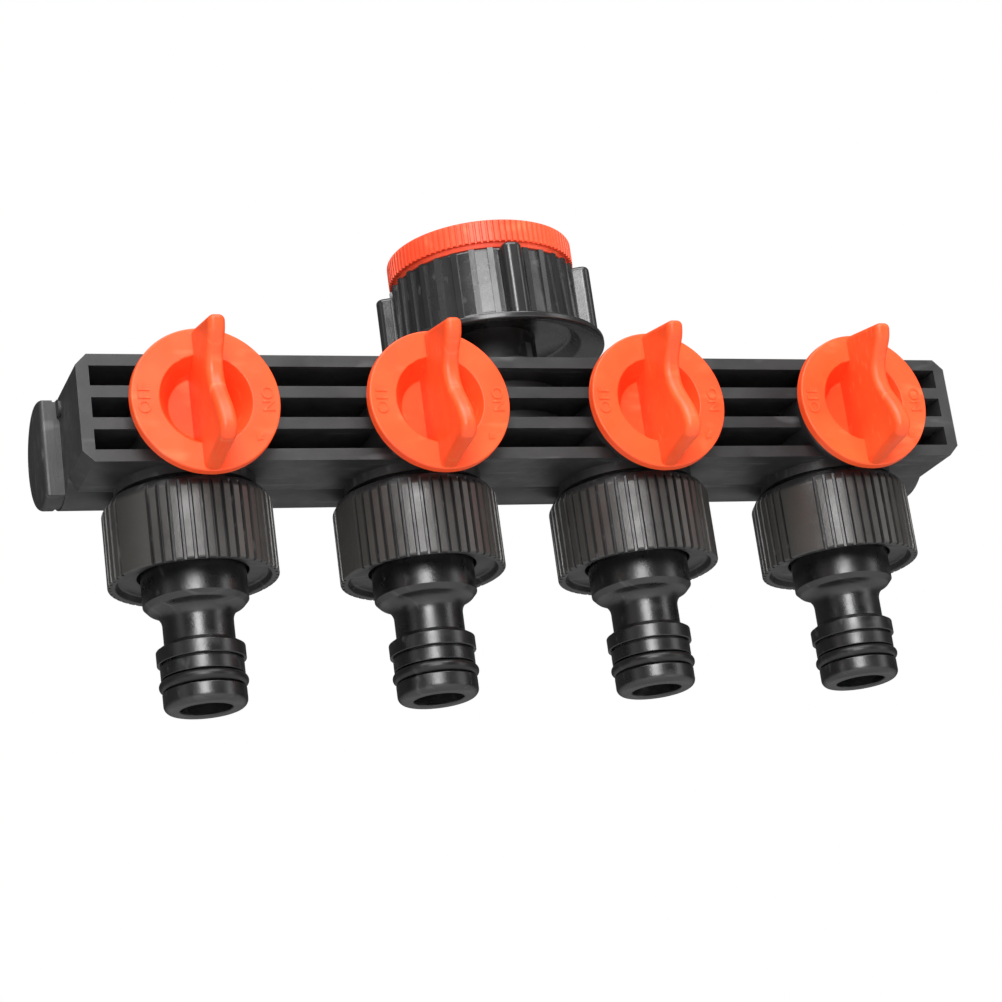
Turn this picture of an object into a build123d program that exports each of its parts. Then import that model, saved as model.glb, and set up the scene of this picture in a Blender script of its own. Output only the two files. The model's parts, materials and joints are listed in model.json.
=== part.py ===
from build123d import *
import math
import os

# Garden hose splitter: one swivel inlet on a tap, a manifold with a turn valve over each outlet,
# and a hose-connector nipple held under each outlet by a knurled union nut.
#
# Everything is drawn from the outlets: X runs along the manifold and is zero midway between the
# two middle outlets, Y is zero on the outlet axes with the knobs towards -Y, and Z is zero at the
# level of the valve axes. export_node() then moves it to the part's frame, whose origin lies on
# the inlet axis at the tap's seat. Lengths are millimetres.

# ---------------------------------------------------------------- driving dimensions

OUTLET_PITCH = 47.0
OUTLET_COUNT = 4
OUTLET_X = [(i - (OUTLET_COUNT - 1) / 2) * OUTLET_PITCH for i in range(OUTLET_COUNT)]

PRESS_GAP = 0.02
OVERLAP = 0.5
RUN_CLEARANCE = 0.1
LOOSE_CLEARANCE = 0.3
PITCH_G34 = 1.814
PITCH_G1 = 2.309

# Front block of the manifold, with its rows of slots
BLOCK_LEFT = -93.2
BLOCK_RIGHT = 96.0
BLOCK_FRONT = -14.1
BLOCK_BACK = 4.0
BLOCK_TOP = 12.4
BLOCK_BOTTOM = -9.5
BLOCK_CHAMFER = 2.2
SLOT_HEIGHT = 4.1
RIB_HEIGHT = 2.4
SLOT_COUNT = 3
SLOT_DEPTH = 11.0
END_WALL = 2.5

# Main pipe behind the block
PIPE_Y = 8.5
PIPE_Z = 0.0
PIPE_R = 10.9
PIPE_BORE_R = 8.0
PIPE_RIGHT = 95.2
PIPE_END_WALL = 2.0

# Left end of the pipe: it stands out of the block with its front cut flat, and a cap closes it
PIPE_LEFT = -94.4
STUB_R = 10.6
STUB_FRONT = 4.05
CAP_LEFT = -97.1
CAP_FRONT = 3.75
CAP_EDGE = 1.0
CAP_PLUG_R = 5.4
CAP_PLUG_Y = 10.4
CAP_PLUG_RIGHT = -90.9
GATE_MARK_R = 1.7
GATE_MARK_Y = 3.0
GATE_MARK_Z = 7.9
GATE_MARK_HEIGHT = 0.5

# Valve chambers, one behind each knob
CHAMBER_R = 8.5
CHAMBER_BOSS_R = 11.4
BONNET_R = 10.4
BONNET_SEAT_DEPTH = 3.1
BONNET_LIP_R = 11.6
BONNET_LIP = 1.6
SPINDLE_R = 6.5
PLUG_R = CHAMBER_R - RUN_CLEARANCE
PLUG_BACK = 6.0
PLUG_BACK_GAP = 0.5
PLUG_HOLLOW_R = 6.0
PLUG_HOLLOW_FRONT = -5.2
PORT_R = 4.2
STEM_SEAL_Y = -8.4
STEM_SEAL_SECTION_R = 0.72
STEM_SEAL_INSET = 0.67
TANG = 6.0
TANG_LENGTH = 4.0

# Outlet boss under each chamber, with a male G3/4 thread
BOSS_R = 13.1
BOSS_ROOT_R = 12.1
BOSS_BOTTOM = -22.0
BOSS_COLLAR_R = 13.9
BOSS_COLLAR_HEIGHT = 1.9
BOSS_THREAD_GAP = 2.4
BOSS_THREAD_TURNS = 5
OUTLET_BORE_R = 5.0
PORT_SEAL_R = 6.3
PORT_SEAL_BOTTOM = -11.0

# Knob
KNOB_R = 14.64
KNOB_FRONT = -22.3
KNOB_FLANGE = 2.0
RECESS_TOP_R = 9.05
RECESS_FLOOR_R = 6.25
RECESS_DEPTH = 5.6
HUB_WALL = 1.5
BLADE_THICKNESS = 3.4
BLADE_TOP = 14.3
BLADE_TIP_TOP = 11.9
BLADE_HEIGHT = 13.9
BLADE_EDGE = 1.2
BLADE_UPPER_CORNER = 0.9
BLADE_LOWER_CORNER = 2.0

# Union nut
NUT_R = 16.65
NUT_TOP = -12.8
NUT_BOTTOM = -29.5
NUT_BORE_R = BOSS_R + LOOSE_CLEARANCE
NUT_WEB_TOP = -26.0
NUT_WEB_BOTTOM = -27.9
NUT_HOLE_R = 10.8
NUT_RIBS = 50
NUT_PANEL_RIBS = 4
NUT_GROOVE_DEPTH = 0.75
NUT_TURNS = (-144.9, -169.0, -35.0, -141.7)

# Hose-connector nipple
NIPPLE_FLANGE_R = 12.7
NIPPLE_FLANGE_TOP = -24.35
NIPPLE_BODY_R = 10.3
NIPPLE_BODY_BOTTOM = -33.7
NECK_R = 6.9
NECK_BOTTOM = -41.8
COLLAR_R = 8.625
COLLAR_TOP = -42.9
COLLAR_BOTTOM = -45.6
BAND_R = 8.1
BAND_BOTTOM = -48.5
O_RING_Z = -49.8
O_RING_SECTION_R = 1.15
TIP_R = 8.1
TIP_TOP = -51.1
TIP_BOTTOM = -54.9
NIPPLE_BORE_R = 5.0
WASHER_THICKNESS = 2.2

# Inlet, on its own axis a little in front of the pipe's
INLET_Y = 5.5
SPIGOT_R = 9.5
SPIGOT_BORE_R = 7.4
SPIGOT_FOOT_R = 13.0
SPIGOT_FOOT_TOP = 15.6
SPIGOT_FOOT_THICKNESS = 2.4
SPIGOT_RIB_TOP = 18.8
SPIGOT_RIB_R = 12.6
SPIGOT_RIB_THICKNESS = 1.4
SPIGOT_RIBS = 4
SPIGOT_RIB_TURN = -74.0
SPIGOT_FLANGE_R = 14.6
SPIGOT_FLANGE_BOTTOM = 25.7
SPIGOT_FLANGE_TOP = 28.0
SPIGOT_SOCKET_BOTTOM = 8.6
INLET_NUT_BOTTOM = 19.6
INLET_NUT_TOP = 37.4
INLET_NUT_R = 19.0
RIDGE_R = 19.8
RIDGES = 32
LUG_PLACES = (0, 6, 16, 22)
LUG_R = 22.9
LUG_WIDTH = 4.2
LUG_TURN = -93.5
LUG_EDGE = 1.6
LUG_TOP_EDGE = 0.9
RIDGE_WIDTH = 1.2
SKIRT_R = 23.9
SKIRT_TOP = 22.2
SKIRT_RIM_TOP = 20.8
SKIRT_LIP = 1.2
DISH_SHOULDER_Z = 20.8
DISH_TOP_R = 17.0
GRIP_BOTTOM = 21.6
LUG_BOTTOM = 21.0
GRIP_ROOT = 0.5
LUG_ROOT = 0.1
INLET_WEB_BOTTOM = 23.3
INLET_WEB_TOP = 25.6
G1_MALE_R = 16.5
INLET_NUT_BORE_R = G1_MALE_R + LOOSE_CLEARANCE
INLET_WASHER_TOP = 30.3

# Reducer ring: male G1 below its knurled rim, female G3/4 inside
RIM_R = 19.7
RIM_BOTTOM = 38.4
RIM_TOP = 43.3
RIM_RIBS = 96
RIM_GROOVE_DEPTH = 0.45
REDUCER_BOTTOM = 30.35
G34_FEMALE_R = 12.06
THREAD_SEAT = 35.6
MOUTH_CHAMFER = 0.8
REDUCER_OPENING_R = 9.0
LEDGE_TOP = 33.0
WASHER_GROOVE_R = 12.7

TO_PART_FRAME = Pos(0, -INLET_Y, -THREAD_SEAT)


# ---------------------------------------------------------------- helpers


def export_node(shape, name):
    """Moves a finished piece to the part's frame and writes it."""
    export_step(TO_PART_FRAME * shape, f"parts/{name}.step")


def outline_of(points):
    """Closed outline. Each point is (radius, height, corner radius)."""
    return FilletPolyline(
        *[(radius, height) for radius, height, _ in points],
        radius=[corner for _, _, corner in points],
        close=True,
    )


def turned(points):
    """Solid of revolution about the Z axis, heights running along it."""
    return revolve(Plane.XZ * make_face(outline_of(points)), Axis.Z)


def turned_along_y(points):
    """Solid of revolution about the Y axis, heights running along it."""
    return revolve(make_face(outline_of(points)), Axis.Y)


def rod(radius, bottom, top):
    """Upright cylinder between two heights."""
    return Pos(0, 0, (bottom + top) / 2) * Cylinder(radius, top - bottom)


def tube(outer, inner, bottom, top):
    return rod(outer, bottom, top) - rod(inner, bottom - 1, top + 1)


def along_y(shape):
    """Turns an upright shape so that its height runs along +Y."""
    return Rot(-90, 0, 0) * shape


def along_x(shape):
    """Turns an upright shape so that its height runs along +X."""
    return Rot(0, 90, 0) * shape


def block(x, y, z):
    """Box between pairs of limits."""
    size = [high - low for low, high in (x, y, z)]
    middle = [(low + high) / 2 for low, high in (x, y, z)]
    return Pos(*middle) * Box(*size)


def ring(centre_radius, section_radius, height):
    """O-ring lying flat at a height."""
    return Pos(0, 0, height) * Torus(centre_radius, section_radius)


def grooves(count, skipped, outer, depth, mouth, floor, bottom, top):
    """Upright trapezoid grooves spaced evenly round the Z axis, apart from the skipped ones."""
    reach = 1.5
    slope = (mouth - floor) / 2 / depth
    wide = mouth / 2 + slope * reach
    shape = Polyline(
        (outer - depth, -floor / 2),
        (outer + reach, -wide),
        (outer + reach, wide),
        (outer - depth, floor / 2),
        close=True,
    )
    one = extrude(make_face(shape), top - bottom)
    step = 360 / count
    return [Rot(0, 0, i * step) * Pos(0, 0, bottom) * one for i in range(count) if i not in skipped]


def thread_ridges(root, crest, pitch, top, turns, crest_flat=0.35):
    """Ridges of a male thread, one ring for each turn, below a height."""
    ridges = []
    for i in range(turns):
        middle = top - (i + 0.5) * pitch
        half_root = pitch * 0.42
        ridges.append(
            turned(
                [
                    (root - 0.4, middle - half_root, 0),
                    (root, middle - half_root, 0),
                    (crest, middle - crest_flat / 2, 0),
                    (crest, middle + crest_flat / 2, 0),
                    (root, middle + half_root, 0),
                    (root - 0.4, middle + half_root, 0),
                ]
            )
        )
    return ridges


# ---------------------------------------------------------------- manifold


def manifold_body():
    front = block(
        (BLOCK_LEFT, BLOCK_RIGHT), (BLOCK_FRONT, BLOCK_BACK), (BLOCK_BOTTOM, BLOCK_TOP)
    )
    corners = front.edges().filter_by(Axis.Y)
    front = chamfer(corners, BLOCK_CHAMFER)

    slots = []
    pitch = SLOT_HEIGHT + RIB_HEIGHT
    middle_z = (BLOCK_TOP + BLOCK_BOTTOM) / 2
    for row in range(SLOT_COUNT):
        z = middle_z + (row - 1) * pitch
        slots.append(
            block(
                (BLOCK_LEFT + END_WALL, BLOCK_RIGHT - END_WALL),
                (BLOCK_FRONT - 1, BLOCK_FRONT + SLOT_DEPTH),
                (z - SLOT_HEIGHT / 2, z + SLOT_HEIGHT / 2),
            )
        )
    body = front - slots

    chamber_bosses = [
        Pos(x, 0, 0) * along_y(rod(CHAMBER_BOSS_R, BLOCK_FRONT, BLOCK_BACK)) for x in OUTLET_X
    ]
    chamber_bosses = [boss & front for boss in chamber_bosses]
    pipe = Pos(0, PIPE_Y, PIPE_Z) * along_x(rod(PIPE_R, BLOCK_LEFT, PIPE_RIGHT))
    stub = flat_fronted(STUB_R, STUB_FRONT, PIPE_LEFT, BLOCK_LEFT + OVERLAP)
    gate_mark = Pos(0, GATE_MARK_Y, GATE_MARK_Z) * along_x(
        rod(GATE_MARK_R, BLOCK_LEFT - GATE_MARK_HEIGHT, BLOCK_LEFT + OVERLAP)
    )
    body = body + chamber_bosses + pipe + stub + gate_mark

    for x in OUTLET_X:
        boss = rod(BOSS_ROOT_R, BOSS_BOTTOM, BLOCK_BOTTOM + 1)
        boss += rod(BOSS_COLLAR_R, BLOCK_BOTTOM - BOSS_COLLAR_HEIGHT, BLOCK_BOTTOM + 1)
        thread_top = BLOCK_BOTTOM - BOSS_THREAD_GAP
        boss += thread_ridges(BOSS_ROOT_R, BOSS_R, PITCH_G34, thread_top, BOSS_THREAD_TURNS)
        body += Pos(x, 0, 0) * boss
    body += Pos(0, INLET_Y, 0) * rod(SPIGOT_FOOT_R, 2.0, SPIGOT_FOOT_TOP - SPIGOT_FOOT_THICKNESS)

    bore_left = BLOCK_LEFT + END_WALL
    body -= Pos(0, PIPE_Y, PIPE_Z) * along_x(
        rod(PIPE_BORE_R, bore_left, PIPE_RIGHT - PIPE_END_WALL)
    )
    plug_hole = rod(CAP_PLUG_R + PRESS_GAP, PIPE_LEFT - 1, bore_left + 1)
    body -= Pos(0, CAP_PLUG_Y, PIPE_Z) * along_x(plug_hole)
    for x in OUTLET_X:
        chamber = along_y(rod(CHAMBER_R, BLOCK_FRONT - 1, PLUG_BACK + PLUG_BACK_GAP))
        seat = along_y(rod(BONNET_R, BLOCK_FRONT - 1, BLOCK_FRONT + BONNET_SEAT_DEPTH))
        outlet = rod(OUTLET_BORE_R, BOSS_BOTTOM - 1, 0)
        seal_seat = rod(PORT_SEAL_R, PORT_SEAL_BOTTOM, 0)
        for cut in (chamber, seat, outlet, seal_seat):
            body -= Pos(x, 0, 0) * cut
    body -= Pos(0, INLET_Y, 0) * rod(SPIGOT_R + PRESS_GAP, SPIGOT_SOCKET_BOTTOM, SPIGOT_FOOT_TOP)
    body -= Pos(0, INLET_Y, 0) * rod(SPIGOT_BORE_R, 0, SPIGOT_FOOT_TOP)
    return body


def flat_fronted(radius, front, left, right):
    """Length of the pipe's outside with its front cut flat."""
    whole = Pos(0, PIPE_Y, PIPE_Z) * along_x(rod(radius, left, right))
    reach = radius + 1
    return whole - block((left - 1, right + 1), (PIPE_Y - reach, front), (-reach, reach))


def end_cap():
    """Cap that closes the pipe's left end, with a round plug in the hole there."""
    disc = flat_fronted(PIPE_R, CAP_FRONT, CAP_LEFT, PIPE_LEFT)
    disc = fillet(disc.faces().sort_by(Axis.X)[0].edges(), CAP_EDGE)
    plug = Pos(0, CAP_PLUG_Y, PIPE_Z) * along_x(
        rod(CAP_PLUG_R, PIPE_LEFT - OVERLAP, CAP_PLUG_RIGHT)
    )
    return disc + plug


def bonnet():
    """Ring pressed in the front of a chamber, which keeps the plug in and carries the spindle."""
    seat_back = BLOCK_FRONT + BONNET_SEAT_DEPTH
    return turned_along_y(
        [
            (SPINDLE_R + RUN_CLEARANCE, BLOCK_FRONT - BONNET_LIP, 0.3),
            (BONNET_LIP_R, BLOCK_FRONT - BONNET_LIP, 0.5),
            (BONNET_LIP_R, BLOCK_FRONT - 0.02, 0),
            (BONNET_R - 0.02, BLOCK_FRONT - 0.02, 0),
            (BONNET_R - 0.02, seat_back, 0),
            (SPINDLE_R + RUN_CLEARANCE, seat_back, 0),
        ]
    )


def valve_plug():
    """Hollow plug: water enters its open back and leaves by the port, down at rest."""
    front = BLOCK_FRONT + BONNET_SEAT_DEPTH + RUN_CLEARANCE
    groove_r = PLUG_R - 1.45
    half = 1.0
    body = turned_along_y(
        [
            (0, front, 0),
            (PLUG_R, front, 0.4),
            (PLUG_R, STEM_SEAL_Y - half, 0),
            (groove_r, STEM_SEAL_Y - half, 0),
            (groove_r, STEM_SEAL_Y + half, 0),
            (PLUG_R, STEM_SEAL_Y + half, 0),
            (PLUG_R, PLUG_BACK, 0.4),
            (PLUG_HOLLOW_R, PLUG_BACK, 0),
            (PLUG_HOLLOW_R, PLUG_HOLLOW_FRONT, 0.8),
            (0, PLUG_HOLLOW_FRONT, 0),
        ]
    )
    body -= rod(PORT_R, -PLUG_R - 1, 0)
    tang = block(
        (-TANG / 2, TANG / 2), (front - TANG_LENGTH, front + 0.5), (-TANG / 2, TANG / 2)
    )
    return body + tang


def stem_o_ring():
    return along_y(ring(PLUG_R - STEM_SEAL_INSET, STEM_SEAL_SECTION_R, STEM_SEAL_Y))


def port_seal():
    """Rubber ring in the outlet, with its top hollowed to the plug's radius."""
    blank = tube(PORT_SEAL_R - 0.02, PORT_R + 0.1, PORT_SEAL_BOTTOM, -5.0)
    return blank - along_y(rod(PLUG_R + 0.05, -20, 20))


def knob():
    """Round flange with a sunk middle, a tall grip blade across it and a spindle behind."""
    floor_y = KNOB_FRONT + RECESS_DEPTH
    flange_back = KNOB_FRONT + KNOB_FLANGE
    hub_end = BLOCK_FRONT - BONNET_LIP - LOOSE_CLEARANCE
    spindle_end = BLOCK_FRONT + BONNET_SEAT_DEPTH
    body = turned_along_y(
        [
            (0, floor_y, 0),
            (RECESS_FLOOR_R, floor_y, 0.3),
            (RECESS_TOP_R, KNOB_FRONT, 0.3),
            (KNOB_R - 0.15, KNOB_FRONT, 0.35),
            (KNOB_R, flange_back, 0.3),
            (RECESS_TOP_R + HUB_WALL, flange_back, 0.5),
            (RECESS_FLOOR_R + HUB_WALL + 1.4, hub_end, 0),
            (SPINDLE_R, hub_end, 0),
            (SPINDLE_R, spindle_end, 0.3),
            (0, spindle_end, 0),
        ]
    )
    socket_half = TANG / 2 + 0.05
    body -= block(
        (-socket_half, socket_half),
        (spindle_end - TANG_LENGTH, spindle_end + 1),
        (-socket_half, socket_half),
    )
    return body + blade()


def blade():
    """Grip blade in the plane X = 0. Its front edge dips above the middle and swells below it."""
    base = KNOB_FRONT
    outline = [
        Line((base, BLADE_TOP), (base - 13.2, BLADE_TIP_TOP)),
        Spline(
            (base - 13.2, BLADE_TIP_TOP),
            (base - 12.6, 9.6),
            (base - 8.9, 4.6),
            (base - 8.7, 0.8),
            (base - 11.4, -4.0),
            (base - BLADE_HEIGHT, -9.0),
            (base - 12.2, -12.6),
            tangents=((0.35, -1), (1, -0.55)),
        ),
        Line((base - 12.2, -12.6), (base, -BLADE_TOP)),
        Line((base, -BLADE_TOP), (base + RECESS_DEPTH, -RECESS_FLOOR_R)),
        Line((base + RECESS_DEPTH, -RECESS_FLOOR_R), (base + RECESS_DEPTH, RECESS_FLOOR_R)),
        Line((base + RECESS_DEPTH, RECESS_FLOOR_R), (base, BLADE_TOP)),
    ]
    side = Plane((0, 0, 0), x_dir=(0, 1, 0), z_dir=(1, 0, 0)) * make_face(outline)
    plate = extrude(side, BLADE_THICKNESS / 2, both=True)
    across = plate.edges().filter_by(Axis.X).sort_by(Axis.Y)
    front = [edge for edge in across if edge.center().Y < base - BLADE_HEIGHT / 2]
    front = ShapeList(front).sort_by(Axis.Z)
    plate = fillet(front[-1], BLADE_UPPER_CORNER)
    across = plate.edges().filter_by(Axis.X).filter_by(GeomType.LINE)
    lower = [edge for edge in across if edge.center().Y < base - BLADE_HEIGHT / 2]
    plate = fillet(ShapeList(lower).sort_by(Axis.Z)[0], BLADE_LOWER_CORNER)
    ridge = plate.edges().filter_by(GeomType.BSPLINE)
    return fillet(ridge, BLADE_EDGE)


# ---------------------------------------------------------------- outlets


def outlet_nut(turn):
    """Knurled union nut. Two smooth panels on opposite sides break the ribs."""
    blank = turned(
        [
            (NUT_BORE_R, NUT_TOP, 0.3),
            (NUT_R - 1.2, NUT_TOP, 0.6),
            (NUT_R, NUT_TOP - 2.0, 1.2),
            (NUT_R, NUT_BOTTOM, 0.4),
            (NUT_R - 1.5, NUT_BOTTOM, 0.3),
            (NUT_R - 2.1, NUT_WEB_BOTTOM - 0.2, 0.5),
            (NUT_HOLE_R, NUT_WEB_BOTTOM, 0.3),
            (NUT_HOLE_R, NUT_WEB_TOP, 0),
            (NUT_BORE_R, NUT_WEB_TOP, 0),
        ]
    )
    half = NUT_RIBS // 2
    skipped = [side + i for side in (0, half) for i in range(-1, NUT_PANEL_RIBS - 2)]
    skipped = [i % NUT_RIBS for i in skipped]
    cuts = grooves(
        NUT_RIBS, skipped, NUT_R, NUT_GROOVE_DEPTH, 0.85, 0.45, NUT_BOTTOM - 1, NUT_TOP + 1
    )
    return Rot(0, 0, turn) * (blank - cuts)


def nipple():
    """Tail piece with a collar and O-ring groove for a push-fit hose connector."""
    groove_r = COLLAR_R - 2 * O_RING_SECTION_R
    funnel_r = NIPPLE_BODY_R - 0.9
    return turned(
        [
            (NIPPLE_BORE_R, NIPPLE_FLANGE_TOP, 0.3),
            (NIPPLE_FLANGE_R, NIPPLE_FLANGE_TOP, 0.2),
            (NIPPLE_FLANGE_R, NUT_WEB_TOP + 0.05, 0),
            (NIPPLE_BODY_R, NUT_WEB_TOP + 0.05, 0),
            (NIPPLE_BODY_R, NIPPLE_BODY_BOTTOM, 0.25),
            (funnel_r, NIPPLE_BODY_BOTTOM - 1.0, 0.8),
            (NECK_R, NIPPLE_BODY_BOTTOM - 2.2, 3.0),
            (NECK_R, NECK_BOTTOM, 0),
            (COLLAR_R, COLLAR_TOP, 0.3),
            (COLLAR_R, COLLAR_BOTTOM, 0.2),
            (BAND_R - 0.5, COLLAR_BOTTOM, 0),
            (BAND_R - 0.5, COLLAR_BOTTOM - 0.3, 0),
            (BAND_R, COLLAR_BOTTOM - 0.3, 0.2),
            (BAND_R, BAND_BOTTOM, 0.2),
            (groove_r, BAND_BOTTOM, 0),
            (groove_r, TIP_TOP, 0),
            (TIP_R, TIP_TOP, 0.3),
            (TIP_R, TIP_BOTTOM, 1.5),
            (NIPPLE_BORE_R, TIP_BOTTOM, 0.4),
        ]
    )


def nipple_o_ring():
    return ring(COLLAR_R - O_RING_SECTION_R, O_RING_SECTION_R - 0.01, O_RING_Z)


def outlet_washer():
    top = NIPPLE_FLANGE_TOP + WASHER_THICKNESS
    return tube(NIPPLE_FLANGE_R, NIPPLE_BORE_R + 0.4, NIPPLE_FLANGE_TOP, top)


# ---------------------------------------------------------------- inlet


def inlet_spigot():
    """Flanged neck, fixed in the manifold, that the inlet nut turns on."""
    body = turned(
        [
            (SPIGOT_BORE_R, SPIGOT_SOCKET_BOTTOM, 0),
            (SPIGOT_R, SPIGOT_SOCKET_BOTTOM, 0),
            (SPIGOT_R, SPIGOT_FOOT_TOP - SPIGOT_FOOT_THICKNESS, 0),
            (SPIGOT_FOOT_R, SPIGOT_FOOT_TOP - SPIGOT_FOOT_THICKNESS, 0),
            (SPIGOT_FOOT_R, SPIGOT_FOOT_TOP, 0.5),
            (SPIGOT_R, SPIGOT_FOOT_TOP, 0.6),
            (SPIGOT_R, SPIGOT_FLANGE_BOTTOM, 0),
            (SPIGOT_FLANGE_R, SPIGOT_FLANGE_BOTTOM, 0.2),
            (SPIGOT_FLANGE_R, SPIGOT_FLANGE_TOP, 0.3),
            (SPIGOT_BORE_R, SPIGOT_FLANGE_TOP, 0.3),
        ]
    )
    half = SPIGOT_RIB_THICKNESS / 2
    rib_bottom = SPIGOT_FOOT_TOP - OVERLAP
    rib = block((SPIGOT_R - OVERLAP, SPIGOT_RIB_R), (-half, half), (rib_bottom, SPIGOT_RIB_TOP))
    step = 360 / SPIGOT_RIBS
    return body + [Rot(0, 0, SPIGOT_RIB_TURN + i * step) * rib for i in range(SPIGOT_RIBS)]


def inlet_nut():
    """Swivel nut with a dished skirt, fine ridges and four grip lugs."""
    body = turned(
        [
            (SPIGOT_R + RUN_CLEARANCE, INLET_WEB_TOP, 0),
            (INLET_NUT_BORE_R, INLET_WEB_TOP, 0),
            (INLET_NUT_BORE_R, INLET_NUT_TOP, 0.3),
            (INLET_NUT_R, INLET_NUT_TOP, 0.8),
            (INLET_NUT_R + 0.5, SKIRT_TOP, 1.0),
            (SKIRT_R, SKIRT_RIM_TOP, 0.4),
            (SKIRT_R, INLET_NUT_BOTTOM, 0.3),
            (SKIRT_R - SKIRT_LIP, INLET_NUT_BOTTOM, 0.3),
            (INLET_NUT_R, DISH_SHOULDER_Z, 1.0),
            (DISH_TOP_R, INLET_WEB_BOTTOM, 0.8),
            (SPIGOT_R + RUN_CLEARANCE, INLET_WEB_BOTTOM, 0),
        ]
    )
    ridge_top = INLET_NUT_TOP - 0.5
    ridge = block(
        (INLET_NUT_R - GRIP_ROOT, RIDGE_R), (-RIDGE_WIDTH / 2, RIDGE_WIDTH / 2), (GRIP_BOTTOM, ridge_top)
    )
    half_width = LUG_WIDTH / 2
    lug = block(
        (INLET_NUT_R - LUG_ROOT, LUG_R), (-half_width, half_width), (LUG_BOTTOM, ridge_top)
    )
    lug = fillet(lug.edges().filter_by(Axis.Z).sort_by(Axis.X)[-2:], LUG_EDGE)
    lug = fillet(lug.faces().sort_by(Axis.Z)[-1].edges().sort_by(Axis.X)[1:], LUG_TOP_EDGE)
    step = 360 / RIDGES
    for i in range(RIDGES):
        grip = lug if i in LUG_PLACES else ridge
        body += Rot(0, 0, LUG_TURN + i * step) * grip
    return body


def inlet_washer():
    return tube(SPIGOT_FLANGE_R, SPIGOT_BORE_R + 0.4, SPIGOT_FLANGE_TOP, INLET_WASHER_TOP)


def reducer_ring():
    blank = turned(
        [
            (REDUCER_OPENING_R, REDUCER_BOTTOM, 0.3),
            (G1_MALE_R - 1.3, REDUCER_BOTTOM, 0.3),
            (G1_MALE_R - 1.3, INLET_NUT_TOP + 0.1, 0),
            (RIM_R - 1.3, INLET_NUT_TOP + 0.1, 0.2),
            (RIM_R - 1.0, RIM_BOTTOM, 0),
            (RIM_R, RIM_BOTTOM, 0.2),
            (RIM_R, RIM_TOP, 0.6),
            (G34_FEMALE_R + MOUTH_CHAMFER, RIM_TOP, 0),
            (G34_FEMALE_R, RIM_TOP - MOUTH_CHAMFER, 0),
            (G34_FEMALE_R, THREAD_SEAT, 0),
            (WASHER_GROOVE_R, THREAD_SEAT, 0),
            (WASHER_GROOVE_R, LEDGE_TOP, 0),
            (REDUCER_OPENING_R, LEDGE_TOP, 0.3),
        ]
    )
    cuts = grooves(
        RIM_RIBS, [], RIM_R, RIM_GROOVE_DEPTH, 0.6, 0.3, RIM_BOTTOM - 0.5, RIM_TOP + 0.5
    )
    ridges = thread_ridges(G1_MALE_R - 1.3, G1_MALE_R, PITCH_G1, INLET_NUT_TOP - 0.1, 3)
    return blank - cuts + ridges


def reducer_washer():
    return tube(WASHER_GROOVE_R - 0.2, REDUCER_OPENING_R - 0.5, LEDGE_TOP, THREAD_SEAT - 0.3)


# ---------------------------------------------------------------- write the nodes

os.makedirs("parts", exist_ok=True)

export_node(manifold_body(), "manifold_body")
export_node(end_cap(), "end_cap")

over_inlet = Pos(0, INLET_Y, 0)
export_node(over_inlet * inlet_spigot(), "inlet_spigot")
export_node(over_inlet * inlet_nut(), "inlet_nut")
export_node(over_inlet * inlet_washer(), "inlet_washer")
export_node(over_inlet * reducer_ring(), "reducer_ring")
export_node(over_inlet * reducer_washer(), "reducer_washer")

outlet_pieces = {
    "knob": knob(),
    "valve_plug": valve_plug(),
    "stem_o_ring": stem_o_ring(),
    "valve_bonnet": bonnet(),
    "port_seal": port_seal(),
    "nipple": nipple(),
    "nipple_o_ring": nipple_o_ring(),
    "outlet_washer": outlet_washer(),
}
for number, x in enumerate(OUTLET_X, start=1):
    for name, piece in outlet_pieces.items():
        export_node(Pos(x, 0, 0) * piece, f"{name}_{number}")
    nut = outlet_nut(NUT_TURNS[number - 1])
    export_node(Pos(x, 0, 0) * nut, f"outlet_nut_{number}")
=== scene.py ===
import json
import math

import bpy
from mathutils import Euler, Matrix, Vector


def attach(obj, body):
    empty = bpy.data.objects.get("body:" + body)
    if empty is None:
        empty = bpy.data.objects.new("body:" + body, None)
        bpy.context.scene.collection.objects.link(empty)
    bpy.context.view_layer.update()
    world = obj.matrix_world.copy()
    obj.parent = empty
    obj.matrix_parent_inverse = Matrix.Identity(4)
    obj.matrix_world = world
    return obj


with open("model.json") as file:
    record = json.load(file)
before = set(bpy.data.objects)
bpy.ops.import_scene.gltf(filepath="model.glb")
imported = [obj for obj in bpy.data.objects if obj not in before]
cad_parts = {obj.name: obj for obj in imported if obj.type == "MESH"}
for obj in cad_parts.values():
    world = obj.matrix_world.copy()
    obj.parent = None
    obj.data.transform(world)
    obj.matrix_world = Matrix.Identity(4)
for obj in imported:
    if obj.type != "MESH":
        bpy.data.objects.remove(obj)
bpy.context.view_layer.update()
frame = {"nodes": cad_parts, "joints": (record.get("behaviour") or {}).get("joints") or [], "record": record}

# Everything is in metres, with the part hanging from its inlet, knobs towards -Y.
MM = 0.001
record = frame["record"]
nodes = frame["nodes"]
slot_of = {part["node"]: part["material_slot"] for part in record["subparts"]}
valve_joints = {
    joint["child"]: joint for joint in frame["joints"] if joint["name"].startswith("valve_")
}


# ---------------------------------------------------------------- materials

# Noise scales count blotches in a metre, and heights are metres.
MOTTLE_SCALE = 70
PATCH_SCALE = 180
WAVE_SCALE = 140
WAVE_HEIGHT = 0.12 * MM
WAVE_STRENGTH = 0.35
GRAIN_STRENGTH = 0.8
STREAK_STRETCH = (90, 700, 260)
STREAK_EDGES = (0.60, 0.74)
SCATTER_TINT = (1.0, 0.35, 0.15)
SCATTER_DEPTH = 1.2 * MM


def new_material(name):
    material = bpy.data.materials.new(name)
    material.use_nodes = True
    tree = material.node_tree
    return material, tree, tree.nodes["Principled BSDF"]


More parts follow.
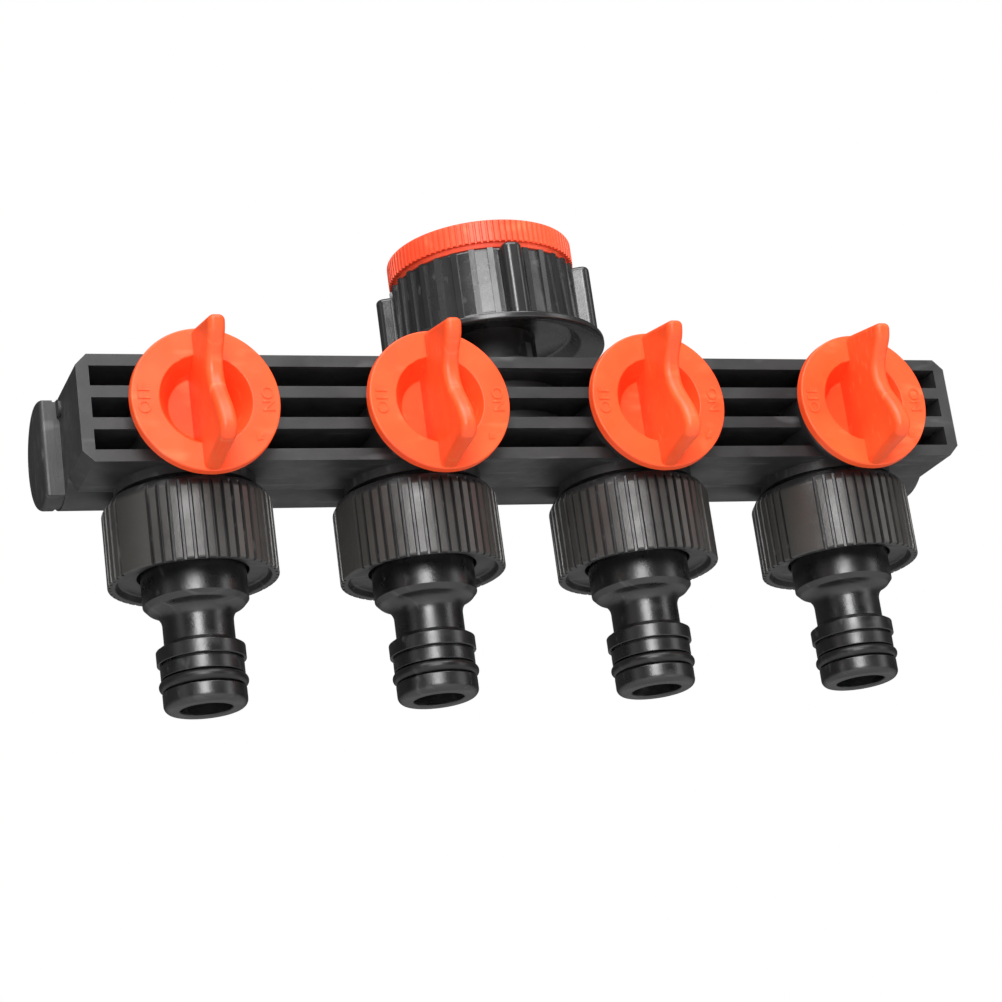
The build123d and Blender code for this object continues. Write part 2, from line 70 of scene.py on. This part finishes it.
def noise(tree, coordinates, scale, detail=4.0, roughness=0.55, stretch=None):
    """Soft blotches, finer as scale grows, drawn out along the axes when stretch is given."""
    source = coordinates
    if stretch:
        mapping = tree.nodes.new("ShaderNodeMapping")
        mapping.inputs["Scale"].default_value = stretch
        tree.links.new(source, mapping.inputs["Vector"])
        source = mapping.outputs["Vector"]
    node = tree.nodes.new("ShaderNodeTexNoise")
    node.inputs["Scale"].default_value = scale
    node.inputs["Detail"].default_value = detail
    node.inputs["Roughness"].default_value = roughness
    tree.links.new(source, node.inputs["Vector"])
    return node.outputs["Fac"]


def ramp(tree, factor, stops):
    """Colours by a factor. Each stop is (position, colour)."""
    node = tree.nodes.new("ShaderNodeValToRGB")
    points = node.color_ramp.elements
    while len(points) < len(stops):
        points.new(0.5)
    for point, (position, colour) in zip(points, stops):
        point.position = position
        point.color = (*colour, 1.0)
    tree.links.new(factor, node.inputs["Fac"])
    return node.outputs["Color"]


def spread(tree, factor, low, high):
    """Maps the useful middle of a noise to a range of values."""
    node = tree.nodes.new("ShaderNodeMapRange")
    node.inputs["From Min"].default_value = 0.3
    node.inputs["From Max"].default_value = 0.7
    node.inputs["To Min"].default_value = low
    node.inputs["To Max"].default_value = high
    tree.links.new(factor, node.inputs["Value"])
    return node.outputs["Result"]


def mix(tree, factor, first, second):
    """Blends a colour socket towards a second socket or a plain colour."""
    node = tree.nodes.new("ShaderNodeMix")
    node.data_type = "RGBA"
    tree.links.new(factor, node.inputs["Factor"])
    tree.links.new(first, node.inputs["A"])
    if isinstance(second, tuple):
        node.inputs["B"].default_value = (*second, 1.0)
    else:
        tree.links.new(second, node.inputs["B"])
    return node.outputs["Result"]


def bump(tree, height, distance, strength, below=None):
    """Surface relief from a height socket, on top of the relief below it."""
    node = tree.nodes.new("ShaderNodeBump")
    node.inputs["Strength"].default_value = strength
    node.inputs["Distance"].default_value = distance
    tree.links.new(height, node.inputs["Height"])
    if below is not None:
        tree.links.new(below, node.inputs["Normal"])
    return node.outputs["Normal"]


def crest(tree, place, axis, low, high, spacing=None):
    """Rises from 0 to 1 between two radii from an upright axis, or from a row of such axes."""
    subtract = tree.nodes.new("ShaderNodeVectorMath")
    subtract.operation = "SUBTRACT"
    subtract.inputs[1].default_value = (axis[0], axis[1], 0)
    tree.links.new(place, subtract.inputs[0])
    parts = tree.nodes.new("ShaderNodeSeparateXYZ")
    tree.links.new(subtract.outputs["Vector"], parts.inputs["Vector"])
    across = parts.outputs["X"]
    if spacing:
        wrap = tree.nodes.new("ShaderNodeMath")
        wrap.operation = "WRAP"
        wrap.inputs[1].default_value = spacing / 2
        wrap.inputs[2].default_value = -spacing / 2
        tree.links.new(across, wrap.inputs[0])
        across = wrap.outputs["Value"]
    flat = tree.nodes.new("ShaderNodeCombineXYZ")
    tree.links.new(across, flat.inputs["X"])
    tree.links.new(parts.outputs["Y"], flat.inputs["Y"])
    length = tree.nodes.new("ShaderNodeVectorMath")
    length.operation = "LENGTH"
    tree.links.new(flat.outputs["Vector"], length.inputs[0])
    rise = tree.nodes.new("ShaderNodeMapRange")
    rise.inputs["From Min"].default_value = low
    rise.inputs["From Max"].default_value = high
    tree.links.new(length.outputs["Value"], rise.inputs["Value"])
    return rise.outputs["Result"]


def moulded(name, tones, gloss, grain, scuff, specular=0.5, subsurface=0.0, crest_highlight=None):
    """Moulded plastic: mottled colour, fine grain, a slow waviness, and faint rubbed streaks.

    tones are three colours, gloss the lowest and highest roughness, grain a noise scale and a
    height in millimetres, and scuff a colour and how far the streaks reach it. The last argument
    is a painted highlight: a paler colour for the rib crests, with the crest() arguments of those ribs.
    and the crest() arguments of the ribs that wear to it.
    """
    material, tree, shader = new_material(name)
    place = tree.nodes.new("ShaderNodeTexCoord").outputs["Object"]
    mottling = noise(tree, place, MOTTLE_SCALE, 3)
    colour = ramp(tree, mottling, [(0.3, tones[0]), (0.5, tones[1]), (0.72, tones[2])])
    streaks = noise(tree, place, 1.0, 2, 0.5, stretch=STREAK_STRETCH)
    start, full = STREAK_EDGES
    scuff_colour, scuff_amount = scuff
    rubbed = ramp(tree, streaks, [(start, (0, 0, 0)), (full, (scuff_amount,) * 3)])
    colour = mix(tree, rubbed, colour, scuff_colour)
    # Painted highlight: the rib crests get a paler colour, so the grooves read darker as painted shade.
    if crest_highlight:
        crest_highlight_colour, *ribs = crest_highlight
        colour = mix(tree, crest(tree, place, *ribs), colour, crest_highlight_colour)
    tree.links.new(colour, shader.inputs["Base Color"])
    patches = noise(tree, place, PATCH_SCALE, 4)
    tree.links.new(spread(tree, patches, *gloss), shader.inputs["Roughness"])
    waves = noise(tree, place, WAVE_SCALE, 1)
    surface = bump(tree, waves, WAVE_HEIGHT, WAVE_STRENGTH)
    grain_scale, grain_height = grain
    fine = noise(tree, place, grain_scale, 5, 0.65)
    surface = bump(tree, fine, grain_height * MM, GRAIN_STRENGTH, surface)
    tree.links.new(surface, shader.inputs["Normal"])
    shader.inputs["Specular IOR Level"].default_value = specular
    if subsurface:
        shader.inputs["Subsurface Weight"].default_value = subsurface
        shader.inputs["Subsurface Radius"].default_value = SCATTER_TINT
        shader.inputs["Subsurface Scale"].default_value = SCATTER_DEPTH
    return material


BLACK = [(0.016, 0.016, 0.017), (0.024, 0.024, 0.025), (0.036, 0.036, 0.037)]
NUT_BLACK = [(0.011, 0.011, 0.012), (0.017, 0.017, 0.018), (0.026, 0.026, 0.027)]
NIPPLE_BLACK = [(0.004, 0.004, 0.0045), (0.006, 0.006, 0.0065), (0.010, 0.010, 0.0105)]
ORANGE = [(0.90, 0.074, 0.014), (0.96, 0.092, 0.019), (1.0, 0.113, 0.026)]
RED = [(0.90, 0.076, 0.028), (0.97, 0.096, 0.036), (1.0, 0.12, 0.048)]
WHITE = [(0.60, 0.60, 0.57), (0.68, 0.68, 0.65), (0.74, 0.74, 0.71)]
RUBBER = [(0.005, 0.005, 0.005), (0.008, 0.008, 0.008), (0.012, 0.012, 0.012)]
GREY_SCUFF = (0.16, 0.16, 0.165)
PALE_SCUFF = (1.0, 0.26, 0.11)

# Painted highlight: rib and ridge crests are coloured paler than the grooves between them, which stay darker
# as painted shade. The outlet nuts share one row of axes.
outlet_axes = sorted(tuple(joint["pos_m"][:2]) for joint in valve_joints.values())
OUTLET_AXIS = outlet_axes[0]
OUTLET_PITCH = outlet_axes[1][0] - outlet_axes[0][0]
NUT_RIB_HIGHLIGHT = ((0.038, 0.036, 0.033), OUTLET_AXIS, 16.1 * MM, 16.6 * MM, OUTLET_PITCH)
RIDGE_HIGHLIGHT = ((0.022, 0.022, 0.022), (0, 0), 19.2 * MM, 19.8 * MM)

looks = {
    "body_black": moulded(
        "body_black", BLACK, (0.36, 0.54), (2600, 0.05), (GREY_SCUFF, 0.35), 0.6
    ),
    "nut_black": moulded(
        "nut_black", NUT_BLACK, (0.30, 0.46), (1700, 0.06), (GREY_SCUFF, 0.4), 0.6, crest_highlight=NUT_RIB_HIGHLIGHT
    ),
    "inlet_nut_black": moulded(
        "inlet_nut_black",
        NUT_BLACK,
        (0.18, 0.30),
        (2200, 0.02),
        (GREY_SCUFF, 0.4),
        0.7,
        crest_highlight=RIDGE_HIGHLIGHT,
    ),
    "nipple_black": moulded(
        "nipple_black", NIPPLE_BLACK, (0.24, 0.38), (1800, 0.028), (GREY_SCUFF, 0.2), 0.75
    ),
    "knob_orange": moulded(
        "knob_orange", ORANGE, (0.36, 0.50), (2400, 0.014), (PALE_SCUFF, 0.3), 0.4, 0.12
    ),
    "ring_red": moulded(
        "ring_red", RED, (0.36, 0.50), (2400, 0.014), (PALE_SCUFF, 0.3), 0.4, 0.12
    ),
    "plug_white": moulded(
        "plug_white", WHITE, (0.32, 0.46), (2400, 0.012), ((0.5, 0.5, 0.48), 0.3)
    ),
    "rubber": moulded(
        "rubber", RUBBER, (0.28, 0.42), (3000, 0.012), ((0.05, 0.05, 0.05), 0.4), 0.45
    ),
}

for node_name, cad_object in nodes.items():
    look = "inlet_nut_black" if node_name == "inlet_nut" else slot_of[node_name]
    cad_object.data.materials.clear()
    cad_object.data.materials.append(looks[look])


# ---------------------------------------------------------------- softened edges

SHARP = math.radians(38)
ROUNDING = {
    "inlet_nut": 0.35 * MM,
    "outlet_nut": 0.2 * MM,
    "manifold_body": 0.3 * MM,
    "knob": 0.5 * MM,
}


def soften(piece, width):
    """Rounds the sharp moulded edges, so that they catch the light."""
    rounding = piece.modifiers.new("rounding", "BEVEL")
    rounding.width = width
    rounding.segments = 2
    rounding.limit_method = "ANGLE"
    rounding.angle_limit = SHARP
    rounding.harden_normals = True


for node_name, cad_object in nodes.items():
    for prefix, width in ROUNDING.items():
        if node_name.startswith(prefix):
            soften(cad_object, width)


# ---------------------------------------------------------------- low-relief marks on the knobs

FLANGE_FRONT = -22.3 * MM
RELIEF = 0.16 * MM
SUNK = 0.25 * MM
LETTER_HEIGHT = 2.5 * MM
FONT_SIZE = LETTER_HEIGHT * 1.35
LETTER_EDGE = 0.03 * MM
OFF_ANGLE = 180
ON_ANGLE = 0
ARROW_ANGLE = -38
ARROW_OUTLINE = [
    (-0.25, -1.1),
    (0.25, -1.1),
    (0.25, 0.1),
    (0.8, 0.1),
    (0, 1.1),
    (-0.8, 0.1),
    (-0.25, 0.1),
]
LETTER_RADIUS = 11.9 * MM
ARROW_RADIUS = 12.4 * MM


def on_flange(axis_point, angle, radius, spin):
    """Places a mark drawn in XY, facing +Z, on the front of a flange, at an angle in the XZ plane."""
    facing = Matrix.Rotation(math.radians(90), 4, "X")
    turned = Matrix.Rotation(math.radians(spin), 4, "Z")
    x = axis_point[0] + radius * math.cos(math.radians(angle))
    z = axis_point[2] + radius * math.sin(math.radians(angle))
    return Matrix.Translation((x, axis_point[1] + FLANGE_FRONT, z)) @ facing @ turned


def finish_mark(piece, body, place):
    """Puts a mark in place, in the knob's material, riding on the valve's body."""
    piece.matrix_world = place
    bpy.context.scene.collection.objects.link(piece)
    bpy.context.view_layer.update()
    piece.data.materials.append(looks["knob_orange"])
    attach(piece, body)


def lettering(text, name, body, axis_point, angle, spin):
    """Raised word, standing a little out of the flange and sunk a little in it."""
    curve = bpy.data.curves.new(name, "FONT")
    curve.body = text
    curve.size = FONT_SIZE
    curve.align_x = "CENTER"
    curve.align_y = "CENTER"
    curve.extrude = SUNK
    curve.bevel_depth = LETTER_EDGE
    drawn = bpy.data.objects.new(name + "_drawn", curve)
    bpy.context.scene.collection.objects.link(drawn)
    bpy.context.view_layer.update()
    depsgraph = bpy.context.evaluated_depsgraph_get()
    mesh = bpy.data.meshes.new_from_object(drawn.evaluated_get(depsgraph))
    bpy.data.objects.remove(drawn)
    mesh.transform(Matrix.Translation((0, 0, RELIEF - SUNK)))
    mesh.materials.clear()
    piece = bpy.data.objects.new(name, mesh)
    finish_mark(piece, body, on_flange(axis_point, angle, LETTER_RADIUS, spin))


def arrow(name, body, axis_point, angle, spin):
    """Small arrowhead with a short tail."""
    count = len(ARROW_OUTLINE)
    points = [(x * MM, y * MM, z) for z in (-SUNK, RELIEF) for x, y in ARROW_OUTLINE]
    faces = [tuple(range(count - 1, -1, -1)), tuple(range(count, 2 * count))]
    for i in range(count):
        j = (i + 1) % count
        faces.append((i, j, count + j, count + i))
    mesh = bpy.data.meshes.new(name)
    mesh.from_pydata(points, [], faces)
    piece = bpy.data.objects.new(name, mesh)
    finish_mark(piece, body, on_flange(axis_point, angle, ARROW_RADIUS, spin))


for body, joint in valve_joints.items():
    pivot = joint["pos_m"]
    lettering("OFF", f"off_mark_{body}", body, pivot, OFF_ANGLE, OFF_ANGLE - 90)
    lettering("ON", f"on_mark_{body}", body, pivot, ON_ANGLE, ON_ANGLE - 90)
    arrow(f"arrow_mark_{body}", body, pivot, ARROW_ANGLE, ARROW_ANGLE + 180)


# ---------------------------------------------------------------- floor, light and camera

FLOOR_Z = -0.32
FLOOR_HALF = 4.0
FLOOR_TONES = [(0.3, (0.84, 0.84, 0.84)), (0.7, (0.88, 0.88, 0.88))]
BACKDROP = 1.0
SURROUND = 0.09
LIGHT_AIM = Vector((0, 0, -0.04))


def floor():
    """Plain pale sheet under the part."""
    half = FLOOR_HALF
    mesh = bpy.data.meshes.new("floor")
    corners = [(-half, -half, 0), (half, -half, 0), (half, half, 0), (-half, half, 0)]
    mesh.from_pydata(corners, [], [(0, 1, 2, 3)])
    piece = bpy.data.objects.new("floor", mesh)
    piece.location = (0, 0, FLOOR_Z)
    bpy.context.scene.collection.objects.link(piece)
    material, tree, shader = new_material("pale_floor")
    place = tree.nodes.new("ShaderNodeTexCoord").outputs["Object"]
    cloudy = noise(tree, place, 3, 3)
    tree.links.new(ramp(tree, cloudy, FLOOR_TONES), shader.inputs["Base Color"])
    shader.inputs["Roughness"].default_value = 0.8
    mesh.materials.append(material)


def soft_light(name, place, size, watts):
    """Rectangular light that faces the part."""
    lamp = bpy.data.lights.new(name, "AREA")
    lamp.shape = "RECTANGLE"
    lamp.size, lamp.size_y = size
    lamp.energy = watts
    light = bpy.data.objects.new(name, lamp)
    light.location = place
    direction = LIGHT_AIM - light.location
    light.rotation_euler = direction.to_track_quat("-Z", "Y").to_euler()
    bpy.context.scene.collection.objects.link(light)


floor()
soft_light("top_light", (-0.1, -0.45, 0.75), (0.9, 0.6), 10)
soft_light("front_light", (-0.3, -0.98, 0.2), (0.4, 0.6), 9.5)
soft_light("left_light", (-0.85, -0.25, 0.05), (0.3, 0.8), 0.5)
soft_light("right_light", (0.75, -0.55, 0.1), (0.3, 0.8), 1.6)

# The camera sees a white backdrop, and the part is lit by a much dimmer one.
world = bpy.data.worlds.new("studio")
world.use_nodes = True
sky = world.node_tree
backdrop = sky.nodes["Background"]
backdrop.inputs["Strength"].default_value = BACKDROP
around = sky.nodes.new("ShaderNodeBackground")
around.inputs["Strength"].default_value = SURROUND
seen = sky.nodes.new("ShaderNodeLightPath").outputs["Is Camera Ray"]
both = sky.nodes.new("ShaderNodeMixShader")
for shade in (backdrop, around):
    shade.inputs["Color"].default_value = (1, 1, 1, 1)
sky.links.new(seen, both.inputs["Fac"])
sky.links.new(around.outputs["Background"], both.inputs[1])
sky.links.new(backdrop.outputs["Background"], both.inputs[2])
sky.links.new(both.outputs["Shader"], sky.nodes["World Output"].inputs["Surface"])
bpy.context.scene.world = world
bpy.context.scene.view_settings.view_transform = "Standard"

CAMERA_PLACE = (-0.19496, -0.47199, -0.21036)
CAMERA_TURN = math.radians(22.19)
CAMERA_RISE = math.radians(17.74)
CAMERA_ROLL = math.radians(-7.87)
SENSOR = 36.0
LENS = 93.0

camera_data = bpy.data.cameras.new("camera")
camera_data.sensor_width = SENSOR
camera_data.lens = LENS
camera_data.clip_start = 0.01
camera = bpy.data.objects.new("camera", camera_data)
aimed = Euler((math.radians(90) + CAMERA_RISE, 0, -CAMERA_TURN)).to_matrix().to_4x4()
rolled = Matrix.Rotation(CAMERA_ROLL, 4, "Z")
camera.matrix_world = Matrix.Translation(CAMERA_PLACE) @ aimed @ rolled
bpy.context.scene.collection.objects.link(camera)
bpy.context.scene.camera = camera
